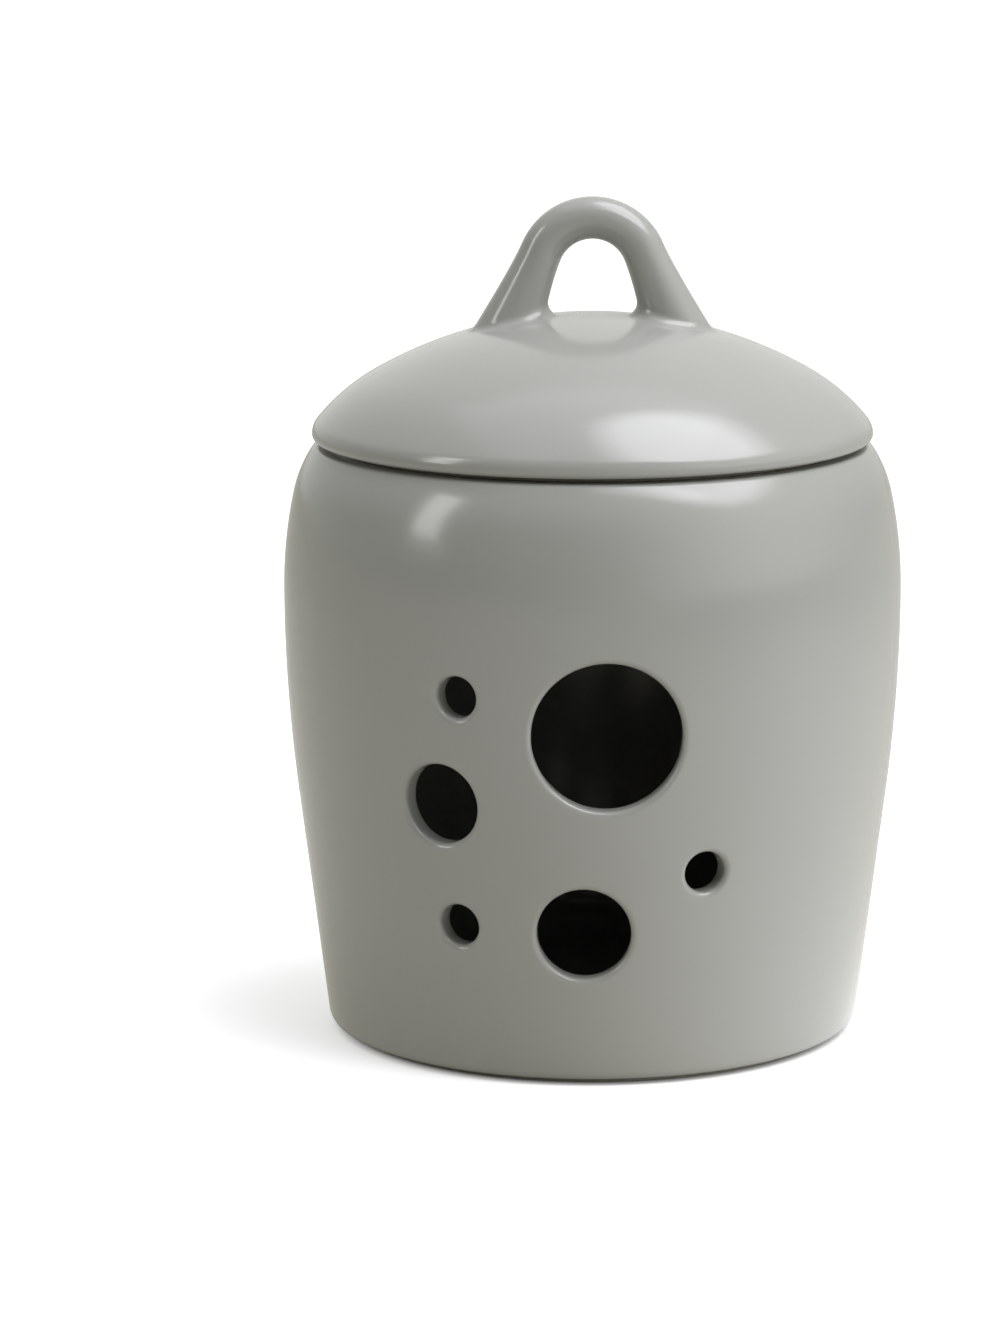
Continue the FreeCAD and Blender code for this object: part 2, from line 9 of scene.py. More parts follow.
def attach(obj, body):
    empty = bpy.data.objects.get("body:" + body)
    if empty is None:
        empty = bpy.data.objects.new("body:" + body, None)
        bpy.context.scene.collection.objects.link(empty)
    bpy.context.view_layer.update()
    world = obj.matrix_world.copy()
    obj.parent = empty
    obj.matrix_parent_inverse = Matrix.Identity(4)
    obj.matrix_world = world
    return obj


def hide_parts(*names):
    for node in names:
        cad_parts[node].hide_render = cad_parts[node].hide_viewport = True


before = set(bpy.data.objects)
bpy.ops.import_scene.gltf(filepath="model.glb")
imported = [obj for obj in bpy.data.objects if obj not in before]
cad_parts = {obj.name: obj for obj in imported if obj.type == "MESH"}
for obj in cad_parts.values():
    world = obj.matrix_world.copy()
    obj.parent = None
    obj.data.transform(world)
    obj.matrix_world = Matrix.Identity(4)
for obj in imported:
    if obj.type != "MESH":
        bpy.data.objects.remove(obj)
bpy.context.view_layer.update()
mm = 0.001


# ---------------------------------------------------------------- glaze
# One grey-green satin glaze covers all three pieces, inside and out. It runs thin and pale over
# sharp edges, and is wiped off where clay rests on clay or on the kiln shelf, which stays bare.
glaze_grey, glaze_pale = (0.279, 0.283, 0.261, 1), (0.302, 0.307, 0.285, 1)
thin_edge, bare_clay = (0.42, 0.42, 0.385, 1), (0.56, 0.50, 0.42, 1)
glaze_ior, glaze_roughness, clay_roughness = 1.55, (0.13, 0.18), 0.85
clouds, gloss_patches, ripples = (26, 3), (60, 2), (70, 1)  # cells per metre, and detail
noise_range = (0.1, 0.9)
ripple_depth = 0.03 * mm
# How much glaze there is: 1 is full, thin_cover is where it looks thinnest, and 0 is bare clay
thin_cover, bare_cover = 0.5, (0.2, 0.4)


def feed(tree, value, slot):
    """Links an output, or a field's output, to an input, or sets a plain value on it."""
    value = getattr(value, "socket", value)
    if isinstance(value, bpy.types.NodeSocket):
        tree.links.new(value, slot)
    else:
        slot.default_value = value


def add(tree, kind, settings=None, **inputs):
    """Adds a node. Inputs are given by name, with _ for a space."""
    node = tree.nodes.new(kind)
    for name, value in (settings or {}).items():
        setattr(node, name, value)
    for name, value in inputs.items():
        wanted = name.replace("_", " ").lower()
        slot = next(slot for slot in node.inputs if slot.name.lower() == wanted and slot.enabled)
        feed(tree, value, slot)
    return node


def blend(tree, factor, first, second, kind="FLOAT"):
    """A Mix node from first to second, which are outputs, fields or plain values."""
    node = add(tree, "ShaderNodeMix", {"data_type": kind}, factor=factor, a=first, b=second)
    return next(slot for slot in node.outputs if slot.enabled)


def spread(tree, value, start, end, kind="LINEAR"):
    """Carries a value over from one range to another, each given as its two ends."""
    node = add(tree, "ShaderNodeMapRange", {"interpolation_type": kind}, value=value,
               from_min=start[0], from_max=start[1], to_min=end[0], to_max=end[1])
    return node.outputs["Result"]


def glaze_material():
    material = bpy.data.materials.new("satin_grey_glaze")
    material.use_nodes = True
    tree = material.node_tree
    shader = tree.nodes["Principled BSDF"]
    shader.inputs["IOR"].default_value = glaze_ior
    place = add(tree, "ShaderNodeTexCoord").outputs["Object"]
    cover = add(tree, "ShaderNodeAttribute", {"attribute_name": "glaze"}).outputs["Fac"]
    thin = spread(tree, cover, (thin_cover, 1), (1, 0))
    bare = spread(tree, cover, bare_cover, (1, 0))

    def noise(scale, detail):
        return add(tree, "ShaderNodeTexNoise", vector=place, scale=scale, detail=detail).outputs["Fac"]

    colour = blend(tree, spread(tree, noise(*clouds), noise_range, (0, 1)), glaze_grey, glaze_pale, "RGBA")
    colour = blend(tree, thin, colour, thin_edge, "RGBA")
    feed(tree, blend(tree, bare, colour, bare_clay, "RGBA"), shader.inputs["Base Color"])
    roughness = spread(tree, noise(*gloss_patches), noise_range, glaze_roughness)
    feed(tree, blend(tree, bare, roughness, clay_roughness), shader.inputs["Roughness"])
    ripple = add(tree, "ShaderNodeBump", strength=1, distance=ripple_depth, height=noise(*ripples))
    feed(tree, ripple.outputs["Normal"], shader.inputs["Normal"])
    return material


glaze = glaze_material()


# ---------------------------------------------------------------- jar
# One slip-cast stoneware pot: a foot ring, a straight taper and three smooth arcs up to a thick rim,
# with round vents bored through the front while the clay was soft and their edges sponged round.
belly_radius, belly_height = 61.0 * mm, 88.2 * mm
flank_arc, flank_start = 325.6 * mm, 47.3 * mm
shoulder_arc, shoulder_end = 90.8 * mm, 107.5 * mm
neck_arc, rim_height = 24.3 * mm, 116.8 * mm
wall, floor_thickness = 4.5 * mm, 6.0 * mm
mouth_radius, mouth_depth, lip_lean = 48.5 * mm, 3.4 * mm, math.radians(45)
foot_height, foot_radius, foot_width, foot_recess = 1.0 * mm, 49.2 * mm, 5.0 * mm, 1.8 * mm
base_round, floor_round, rim_round = 2.4 * mm, 8.0 * mm, 1.5 * mm
mouth_round, lip_round, foot_round, crease_round = 1.0 * mm, 5.0 * mm, 0.6 * mm, 0.4 * mm
foot_wipe, wipe_margin = 0.3 * mm, 1.0 * mm  # the ring is wiped bare up to here, and this far beside it
vent_lip, vent_inner_lip = 1.3 * mm, 0.8 * mm
columns, row_pitch = 360, 1.0 * mm  # the grid of the wall, round it and up it
lowest_vent_row, highest_vent_row = 15, 88  # rows, counted in row pitches above the table
outer_lip_steps, bore_steps, inner_lip_steps = 7, 3, 5
thin_place, thin_fade = 0.6, 1.6  # where round a vent's lip the glaze is thinnest, and how fast it thickens
taper = math.asin((belly_height - flank_start) / flank_arc)

# bearing in degrees from the front towards +X, level, bore, cells out to the lip, cells kept clear
vents = {
    "main": (2.7, 69.5 * mm, 28.6 * mm, 12, 18),
    "lower": (-1.7, 30.7 * mm, 17.9 * mm, 8, 13),
    "side": (-29.5, 55.1 * mm, 15.5 * mm, 7, 12),
    "upper_dot": (-25.3, 76.3 * mm, 8.0 * mm, 4, 8),
    "lower_dot": (-27.1, 31.2 * mm, 8.0 * mm, 4, 8),
    "right_dot": (22.0, 42.3 * mm, 8.0 * mm, 4, 8),
}


def wall_radius(level, arc_size, root=math.sqrt, larger=max):
    """Radius of the wall's outer or inner face below the belly: the flank arc, and the taper under it."""
    arc_start = belly_height - arc_size * math.sin(taper)
    on_arc = larger(level, arc_start)
    fall = root(arc_size ** 2 - (on_arc - belly_height) ** 2)
    return fall - (on_arc - level) * math.tan(taper) + (belly_radius - flank_arc)


def polar(centre, radius, angle):
    """The point this far from a centre, at this angle up from the radius."""
    return (centre[0] + radius * math.cos(angle), centre[1] + radius * math.sin(angle))


def arc(centre, radius, start, end, steps):
    """Points along an arc, with both its ends."""
    return [polar(centre, radius, start + (end - start) * step / steps) for step in range(steps + 1)]


def straight(start, end, pitch):
    """Points from start, left out, to end."""
    steps = max(1, round((end - start).length / pitch))
    return [start.lerp(end, step / steps) for step in range(1, steps + 1)]


def bends(corners, pitch=4 * mm, steps=5):
    """Points along straight runs. Each corner is (radius, height, rounding)."""
    path = [Vector(corners[0][:2])]
    for number in range(1, len(corners) - 1):
        corner = Vector(corners[number][:2])
        back = (Vector(corners[number - 1][:2]) - corner).normalized()
        ahead = (Vector(corners[number + 1][:2]) - corner).normalized()
        half = back.angle(ahead) / 2
        rounding = corners[number][2]
        centre = corner + (back + ahead).normalized() * rounding / math.sin(half)
        first = corner + back * rounding / math.tan(half)
        last = corner + ahead * rounding / math.tan(half)
        sweep = (last - centre).angle_signed(first - centre)
        path += straight(path[-1], first, pitch)
        begin = math.atan2(*(first - centre).yx)
        path += [Vector(point) for point in arc(centre, rounding, begin, begin + sweep, steps)[1:]]
    path += straight(path[-1], Vector(corners[-1][:2]), pitch)
    return [tuple(point) for point in path]


def covered(points, is_bare):
    """Adds the glaze cover to each point of a half section: 0 where it is wiped bare, else 1."""
    return [(r, z, 0.0 if is_bare(r, z) else 1.0) for r, z in points]


def jar_outline():
    """The jar's half section as (radius, height, glaze cover), from under the floor round to its top."""
    turn = math.asin((shoulder_end - belly_height) / shoulder_arc)
    shoulder_centre = (belly_radius - shoulder_arc, belly_height)
    neck_centre = polar(shoulder_centre, shoulder_arc - neck_arc, turn)
    roll_height = rim_height - rim_round
    roll_turn = math.asin((roll_height - neck_centre[1]) / (neck_arc - rim_round))
    roll_centre = polar(neck_centre, neck_arc - rim_round, roll_turn)
    foot_inside = foot_radius - foot_width
    floor_height = foot_height + floor_thickness
    inner_flank, inner_neck = flank_arc - wall, neck_arc - wall
    land_height = rim_height - mouth_depth

    # The lip under the mouth's land leans in until it meets the neck's inner arc
    slope = Vector((math.sin(lip_lean), -math.cos(lip_lean)))
    start = Vector((mouth_radius, land_height)) - Vector(neck_centre)
    along = start.dot(slope)
    reach = -along + math.sqrt(along ** 2 - start.length_squared + inner_neck ** 2)
    slope_end = Vector((mouth_radius, land_height)) + slope * reach
    slope_turn = math.atan2(slope_end.y - neck_centre[1], slope_end.x - neck_centre[0])

    rows = [number * row_pitch for number in range(lowest_vent_row, highest_vent_row + 1)]
    lowest = rows[0]
    points = bends([
        (0, foot_recess, 0),
        (foot_inside, foot_recess, crease_round),
        (foot_inside, 0, foot_round),
        (foot_radius, 0, foot_round),
        (foot_radius, foot_height, crease_round),
        (wall_radius(foot_height, flank_arc), foot_height, base_round),
        (wall_radius(lowest, flank_arc), lowest, 0),
    ])
    points += [(wall_radius(level, flank_arc), level) for level in rows[1:]]
    points += arc(shoulder_centre, shoulder_arc, 0, turn, steps=14)
    points += arc(neck_centre, neck_arc, turn, roll_turn, steps=10)[1:]
    points += arc(roll_centre, rim_round, roll_turn, math.pi / 2, steps=6)[1:]
    points += bends([
        points[-1] + (0,),
        (mouth_radius, rim_height, mouth_round),
        (mouth_radius, land_height, lip_round),
        (slope_end.x, slope_end.y, 0),
    ])[1:]
    points += arc(neck_centre, inner_neck, slope_turn, turn, steps=6)[1:]
    points += arc(shoulder_centre, shoulder_arc - wall, turn, 0, steps=12)[1:]
    points += [(wall_radius(level, inner_flank), level) for level in reversed(rows)]
    points += bends([
        (wall_radius(lowest, inner_flank), lowest, 0),
        (wall_radius(floor_height, inner_flank), floor_height, floor_round),
        (0, floor_height, 0),
    ], steps=8)[1:]
    nearest, furthest = foot_inside - wipe_margin, foot_radius + wipe_margin
    return covered(points, lambda r, z: z < foot_wipe and nearest < r < furthest)


def outline_object(name, outline):
    """An object that holds a half section as a string of edges, ready for turning."""
    mesh = bpy.data.meshes.new(name)
    edges = [(number, number + 1) for number in range(len(outline) - 1)]
    mesh.from_pydata([(r, 0, z) for r, z, _ in outline], edges, [])
    attribute = mesh.attributes.new("glaze", "FLOAT", "POINT")
    attribute.data.foreach_set("value", [cover for _, _, cover in outline])
    piece = bpy.data.objects.new(name, mesh)
    bpy.context.scene.collection.objects.link(piece)
    return piece


class Field:
    """A number in a node tree. Arithmetic on fields adds the Math nodes that work it out."""

    def __init__(self, tree, socket):
        self.tree, self.socket = tree, socket

    def math(self, operation, *others):
        node = self.tree.nodes.new("ShaderNodeMath")
        node.operation = operation
        for slot, value in zip(node.inputs, (self, *others)):
            feed(self.tree, value, slot)
        return Field(self.tree, node.outputs[0])

    def __add__(self, other):
        return self.math("ADD", other)

    def __sub__(self, other):
        return self.math("SUBTRACT", other)

    def __rsub__(self, other):
        return as_field(self.tree, other).math("SUBTRACT", self)

    def __mul__(self, other):
        return self.math("MULTIPLY", other)

    def __truediv__(self, other):
        return self.math("DIVIDE", other)

    def __pow__(self, other):
        return self.math("POWER", other)

    def __abs__(self):
        return self.math("ABSOLUTE")

    __radd__, __rmul__ = __add__, __mul__


def as_field(tree, number):
    """A plain number as a field."""
    node = tree.nodes.new("ShaderNodeValue")
    node.outputs[0].default_value = number
    return Field(tree, node.outputs[0])


def new_tree(name, numbers):
    """A node tree from a geometry to a geometry. numbers are its named inputs with their defaults."""
    tree = bpy.data.node_groups.new(name, "GeometryNodeTree")
    tree.interface.new_socket("Geometry", in_out="INPUT", socket_type="NodeSocketGeometry")
    for label, value in numbers.items():
        kind = "NodeSocketInt" if isinstance(value, int) else "NodeSocketFloat"
        tree.interface.new_socket(label, in_out="INPUT", socket_type=kind).default_value = value
    tree.interface.new_socket("Material", in_out="INPUT", socket_type="NodeSocketMaterial")
    tree.interface.new_socket("Geometry", in_out="OUTPUT", socket_type="NodeSocketGeometry")
    given = tree.nodes.new("NodeGroupInput").outputs
    fields = {label: Field(tree, given[label]) for label in numbers}
    return tree, given["Geometry"], fields, given["Material"]


def end_tree(tree, geometry, material):
    """Every tree ends in plain geometry with its material on."""
    real = add(tree, "GeometryNodeRealizeInstances", geometry=geometry).outputs[0]
    done = add(tree, "GeometryNodeSetMaterial", geometry=real, material=material).outputs[0]
    tree.links.new(done, tree.nodes.new("NodeGroupOutput").inputs["Geometry"])


def store(tree, geometry, name, value):
    """Keeps a number on every point of a geometry."""
    return add(tree, "GeometryNodeStoreNamedAttribute", {"data_type": "FLOAT", "domain": "POINT"},
               geometry=geometry, name=name, value=value).outputs[0]


def stored(tree, name):
    """The number that is kept on a point under this name."""
    node = add(tree, "GeometryNodeInputNamedAttribute", {"data_type": "FLOAT"}, name=name)
    return Field(tree, node.outputs["Attribute"])


def position(tree):
    return add(tree, "GeometryNodeInputPosition").outputs[0]


def parts_of(tree, vector):
    node = add(tree, "ShaderNodeSeparateXYZ", vector=vector)
    return [Field(tree, output) for output in node.outputs]


def whole(tree, x, y, z):
    return add(tree, "ShaderNodeCombineXYZ", x=x, y=y, z=z).outputs[0]


def turning_tree():
    """Turns a half section about the vertical axis, as on a wheel. The seam is at the back."""
    tree, section, given, material = new_tree("turned_form", {"Columns": columns})
    count = add(tree, "GeometryNodeAttributeDomainSize", {"component": "MESH"}, geometry=section)
    rows = Field(tree, count.outputs["Point Count"])
    grid = add(tree, "GeometryNodeMeshGrid", size_x=1, size_y=1,
               vertices_x=given["Columns"] + 1, vertices_y=rows)
    across, along, _ = parts_of(tree, position(tree))
    column = (across + 0.5) * given["Columns"]
    row = ((along + 0.5) * (rows - 1)).math("ROUND")

    def from_section(kind, value):
        return add(tree, "GeometryNodeSampleIndex", {"data_type": kind, "domain": "POINT"},
                   geometry=section, value=value, index=row).outputs["Value"]

    radius, _, height = parts_of(tree, from_section("FLOAT_VECTOR", position(tree)))
    cover = from_section("FLOAT", stored(tree, "glaze"))
    marked = grid.outputs["Mesh"]
    for name, value in (("glaze", cover), ("column", column), ("height", height)):
        marked = store(tree, marked, name, value)
    bearing = (column / given["Columns"] - 0.5) * math.tau
    spot = whole(tree, radius * bearing.math("SINE"), radius * bearing.math("COSINE") * -1, height)
    turned = add(tree, "GeometryNodeSetPosition", geometry=marked, position=spot).outputs[0]
    end_tree(tree, turned, material)
    return tree


def vent_tree():
    """Opens one round vent: bends the wall's rows and columns round it and lines it with a rounded lip."""
    tree, wall_in, given, material = new_tree("vent", {
        "Bearing": 0.0, "Level": 0.05, "Bore": 0.01, "Lip cells": 4, "Clear cells": 8,
        "Outer lip": vent_lip, "Inner lip": vent_inner_lip, "Columns": columns, "Row pitch": row_pitch,
    })
    half_bore = given["Bore"] / 2
    outer_arc, inner_arc = as_field(tree, flank_arc), as_field(tree, flank_arc - wall)

    def face_radius(level, arc_size):
        return wall_radius(
            level, arc_size,
            root=lambda field: field.math("SQRT"),
            larger=lambda field, least: field.math("MAXIMUM", least),
        )

    def on_wall(aside, up, arc_size, sunk=0.0):
        """The point of one face of the wall this far beside and above the vent's axis, sunk inwards."""
        height = given["Level"] + up
        depth = (face_radius(height, arc_size) ** 2 - aside ** 2).math("SQRT") - sunk
        sine, cosine = given["Bearing"].math("SINE"), given["Bearing"].math("COSINE")
        return whole(tree, depth * sine + aside * cosine, aside * sine - depth * cosine, height)

    # Cells counted from the grid point nearest the vent's centre, and the square ring they lie on
    column, height = stored(tree, "column"), stored(tree, "height")
    middle_column = ((given["Bearing"] / math.tau + 0.5) * given["Columns"]).math("ROUND")
    middle_row = (given["Level"] / given["Row pitch"]).math("ROUND")
    over = column - middle_column
    up = height / given["Row pitch"] - middle_row
    ring = abs(over).math("MAXIMUM", abs(up))

    # A square ring's points spread evenly round a circle
    hair = 0.001  # of a cell, so that whole numbers of cells compare as equal
    sideways = abs(up).math("GREATER_THAN", abs(over) + hair) * -1 + 1
    right = over.math("GREATER_THAN", 0.0)
    above = up.math("GREATER_THAN", 0.0)
    safe_over = over + over.math("COMPARE", 0.0, hair)
    safe_up = up + up.math("COMPARE", 0.0, hair)
    side_angle = (1 - right) * math.pi + up / safe_over * (math.pi / 4)
    end_angle = above * math.pi - math.pi / 2 - over / safe_up * (math.pi / 4)
    angle = sideways * side_angle + (1 - sideways) * end_angle

    # Which face of the wall a point is on, and whether it is on the wall at all
    here_x, here_y, _ = parts_of(tree, position(tree))
    plan_radius = (here_x ** 2 + here_y ** 2).math("SQRT")
    outer_radius = face_radius(height, outer_arc)
    outside = plan_radius.math("GREATER_THAN", outer_radius - wall / 2)
    arc_here = flank_arc - (1 - outside) * wall
    in_wall = height.math("GREATER_THAN", (lowest_vent_row - 0.5) * row_pitch)
    in_wall *= height.math("LESS_THAN", (highest_vent_row + 0.5) * row_pitch)
    in_wall *= plan_radius.math("GREATER_THAN", outer_radius - wall * 1.5)

    # Outside the lip the rings change from the circle to the square they came from
    share = (ring - given["Lip cells"]) / (given["Clear cells"] - given["Lip cells"])
    share = share.math("MAXIMUM", 0.0)
    scale = given["Clear cells"] / ring.math("MAXIMUM", 1.0)
    edge_bearing = ((middle_column + over * scale) / given["Columns"] - 0.5) * math.tau - given["Bearing"]
    edge_height = (middle_row + up * scale) * given["Row pitch"]
    edge_aside = face_radius(edge_height, arc_here) * edge_bearing.math("SINE")
    lip = outside * given["Outer lip"] + (1 - outside) * given["Inner lip"]
    round_aside = (half_bore + lip) * angle.math("COSINE")
    round_up = (half_bore + lip) * angle.math("SINE")
    aside = round_aside * (1 - share) + edge_aside * share
    rise = round_up * (1 - share) + (edge_height - given["Level"]) * share
    near = ring.math("LESS_THAN", given["Clear cells"] + 0.5) * in_wall
    bent = add(tree, "GeometryNodeSetPosition", geometry=wall_in, selection=near,
               position=on_wall(aside, rise, arc_here)).outputs[0]
    within = ring.math("LESS_THAN", given["Lip cells"]) * in_wall
    opened = add(tree, "GeometryNodeDeleteGeometry", {"domain": "FACE", "mode": "ALL"},
                 geometry=bent, selection=within).outputs[0]

    # The lining: a quarter round outside, the straight bore, and a smaller quarter round inside. Round
    # the bore it has as many points as the square ring that it joins, which is eight for each cell out.
    stations = outer_lip_steps + bore_steps + inner_lip_steps
    lining = add(tree, "GeometryNodeMeshGrid", size_x=1, size_y=1,
                 vertices_x=given["Lip cells"] * 8 + 1, vertices_y=stations + 1)
    around, inwards, _ = parts_of(tree, position(tree))
    lining_angle = (around + 0.5) * math.tau
    station = ((inwards + 0.5) * stations).math("ROUND")
    quarter = math.pi / 2
    outer_turn = (station / outer_lip_steps).math("MINIMUM", 1.0) * quarter
    inner_turn = ((stations - station) / inner_lip_steps).math("MINIMUM", 1.0) * quarter
    through = ((station - outer_lip_steps) / bore_steps).math("MAXIMUM", 0.0).math("MINIMUM", 1.0)

    def lip_point(turn, lip_size, arc_size, inward):
        reach = half_bore + lip_size * (1 - turn.math("SINE"))
        sunk = lip_size * (1 - turn.math("COSINE")) * inward
        return on_wall(reach * lining_angle.math("COSINE"), reach * lining_angle.math("SINE"), arc_size, sunk)

    outer_point = lip_point(outer_turn, given["Outer lip"], outer_arc, 1)
    inner_point = lip_point(inner_turn, given["Inner lip"], inner_arc, -1)
    lined = add(tree, "GeometryNodeSetPosition", geometry=lining.outputs["Mesh"],
                position=blend(tree, through, outer_point, inner_point, "VECTOR")).outputs[0]
    away_from_thin = abs(station / outer_lip_steps - thin_place) * thin_fade
    lined = store(tree, lined, "glaze", away_from_thin.math("MINIMUM", 1 - thin_cover) + thin_cover)
    both = tree.nodes.new("GeometryNodeJoinGeometry")
    tree.links.new(lined, both.inputs[0])
    tree.links.new(opened, both.inputs[0])
    end_tree(tree, both.outputs[0], material)
    return tree


def closing_tree():
    """Joins seams and poles, and leaves a plain smooth mesh."""
    tree, open_form, given, material = new_tree("closed_form", {"Reach": 0.001 * mm})
    closed = add(tree, "GeometryNodeMergeByDistance", geometry=open_form, distance=given["Reach"]).outputs[0]
    end_tree(tree, add(tree, "GeometryNodeSetShadeSmooth", geometry=closed).outputs[0], material)
    return tree


def run_tree(piece, tree, values):
    """Adds a tree to a piece as a modifier, with its named inputs set."""
    modifier = piece.modifiers.new(tree.name, "NODES")
    modifier.node_group = tree
    for item in tree.interface.items_tree:
        if item.in_out == "INPUT" and item.name in values:
            modifier[item.identifier] = values[item.name]


def as_plain_mesh(piece):
    """Replaces the piece's section and modifiers by the mesh that they make."""
    evaluated = piece.evaluated_get(bpy.context.evaluated_depsgraph_get())
    mesh = bpy.data.meshes.new_from_object(evaluated)
    piece.modifiers.clear()
    mesh.name = piece.name
    mesh.materials.pop(index=0)  # the empty slot that a grid starts with
    for counted in ("column", "height"):
        mesh.attributes.remove(mesh.attributes[counted])
    piece.data = mesh


turned_form, vent_form, closed_form = turning_tree(), vent_tree(), closing_tree()
jar = outline_object("jar_pot", jar_outline())
run_tree(jar, turned_form, {"Columns": columns, "Material": glaze})
for bearing, level, bore, lip_cells, clear_cells in vents.values():
    run_tree(jar, vent_form, {
        "Bearing": math.radians(bearing), "Level": level, "Bore": bore,
        "Lip cells": lip_cells, "Clear cells": clear_cells, "Material": glaze,
    })
run_tree(jar, closed_form, {"Material": glaze})
as_plain_mesh(jar)
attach(jar, "jar")
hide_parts("jar")


# ---------------------------------------------------------------- lid
# A slip-cast dome of the same clay. A ring under its edge sits on the jar's rim and a flange inside
# that keeps it in the mouth. Both are wiped bare where they would stick to the jar in the kiln.
lid_top, crown_arc, haunch_arc, edge_arc = 142.2 * mm, 87.8 * mm, 39.9 * mm, 4.0 * mm
lid_radius, edge_height, edge_under = 55.2 * mm, 119.0 * mm, 1.2 * mm
shell, bearing_radius = 5.0 * mm, 51.2 * mm
flange_radius, flange_width, flange_depth = 47.0 * mm, 4.2 * mm, 8.0 * mm
flange_draft, flange_round, bearing_round, dome_round = math.radians(2), 1.5 * mm, 0.5 * mm, 7.0 * mm
seat_wipe, flange_wipe = 0.3 * mm, 0.2 * mm  # how far past the seat and into the flange it is wiped bare


def lid_outline():
    """The lid's half section as (radius, height, glaze cover), from inside the dome round to its top."""
    # The crown, haunch and edge arcs meet without a kink
    up = edge_height - (lid_top - crown_arc)
    across = lid_radius - edge_arc
    far = math.hypot(across, up)
    long_side, short_side = crown_arc - haunch_arc, haunch_arc - edge_arc
    corner = math.acos((long_side ** 2 + far ** 2 - short_side ** 2) / (2 * long_side * far))
    crown_end = math.pi / 2 - (math.atan2(across, up) - corner)
    crown_centre = (0, lid_top - crown_arc)
    haunch_centre = polar(crown_centre, long_side, crown_end)
    haunch_end = math.acos((across - haunch_centre[0]) / short_side)
    edge_centre = (across, edge_height)
    under_centre = (lid_radius - edge_under, edge_height)
    under_height = edge_height - edge_under
    flange_end = rim_height - flange_depth
    bore = flange_radius - flange_width

    # The inner rounding touches the flange's leaning inner face and the inner haunch arc
    inner_haunch = haunch_arc - shell
    face = Vector((-math.sin(flange_draft), math.cos(flange_draft)))
    outward = Vector((face.y, -face.x))
    off = Vector((bore, flange_end)) - outward * dome_round - Vector(haunch_centre)
    along = off.dot(face)
    rise = -along + math.sqrt(along ** 2 - off.length_squared + (inner_haunch - dome_round) ** 2)
    round_centre = Vector(haunch_centre) + off + face * rise
    touch = math.atan2(*(round_centre - Vector(haunch_centre)).yx)

    points = arc(crown_centre, crown_arc, math.pi / 2, crown_end, steps=34)
    points += arc(haunch_centre, haunch_arc, crown_end, haunch_end, steps=28)[1:]
    points += arc(edge_centre, edge_arc, haunch_end, 0, steps=8)[1:]
    points += arc(under_centre, edge_under, 0, -math.pi / 2, steps=7)[1:]
    points += bends([
        (under_centre[0], under_height, 0),
        (bearing_radius, under_height, bearing_round),
        (bearing_radius, rim_height, bearing_round),
        (flange_radius, rim_height, crease_round),
        (flange_radius, flange_end, flange_round),
        (bore, flange_end, flange_round),
        tuple(round_centre + outward * dome_round) + (0,),
    ], pitch=1.5 * mm)[1:]
    points += arc(round_centre, dome_round, -flange_draft, touch, steps=6)[1:]
    points += arc(haunch_centre, inner_haunch, touch, crown_end, steps=16)[1:]
    points += arc(crown_centre, crown_arc - shell, crown_end, math.pi / 2, steps=18)[1:]
    highest, nearest = rim_height + seat_wipe, flange_radius - flange_wipe
    return covered(points, lambda r, z: z < highest and r > nearest)[::-1]


lid = outline_object("lid_dome", lid_outline())
run_tree(lid, turned_form, {"Columns": columns, "Material": glaze})
run_tree(lid, closed_form, {"Material": glaze})
as_plain_mesh(lid)
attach(lid, "lid")
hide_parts("lid")


# ---------------------------------------------------------------- lid handle
# A loop of the same clay with an oval section, formed apart in its own mould. Its feet swell where they
# meet the dome, and slip is worked round them into a small fillet before the whole lid is glazed.
loop_arc, loop_top, loop_turn = 10.9 * mm, 165.3 * mm, math.radians(66.5)
leg_length, loop_thick, loop_deep = 17.0 * mm, 8.3 * mm, 8.2 * mm
leg_flare, leg_spread, flare_power = 5.4 * mm, 3.4 * mm, 1.6
luting = 2.5 * mm  # radius of the slip fillet
strand_count = 96  # lines of points down the loop
arc_rings, leg_rings, fillet_rings = 28, 26, 9
leg_overrun, leg_samples = 1.25, 400  # the leg is followed this far, in leg lengths, to find the dome
buried_depth, tuck_reach, cap_depth = 0.05 * mm, 0.4 * mm, 1.0 * mm
look_back = 0.1 * mm  # the stretch of strand that gives its direction where the fillet starts


def loop_ring(side, bend, way):
    """The oval section at one place: bend is the share of the arc's turn, way the share of the leg."""
    turned = loop_turn * bend
    middle = loop_top - loop_thick / 2 - loop_arc
    centre = np.array([
        side * (loop_arc * math.sin(turned) + leg_length * way * math.cos(loop_turn)),
        0.0,
        middle + loop_arc * math.cos(turned) - leg_length * way * math.sin(loop_turn),
    ])
    lean = side * (turned + (math.pi / 2 - loop_turn) * way)
    out = np.array([math.sin(lean), 0.0, math.cos(lean)])
    swell = way ** flare_power
    angles = np.linspace(0, math.tau, strand_count, endpoint=False)[:, None]
    thick = (loop_thick + leg_flare * swell) / 2 * np.cos(angles)
    deep = (loop_deep + leg_spread * swell) / 2 * np.sin(angles)
    return centre + thick * out + deep * np.array([0.0, 1.0, 0.0])


def leg_ring(side, way):
    """A ring of the leg, which runs straight down past its end."""
    return loop_ring(side, 1.0, min(way, 1.0)) - [0, 0, max(way - 1, 0) * leg_length]


def unit(vectors):
    return vectors / np.linalg.norm(vectors, axis=1)[:, None]


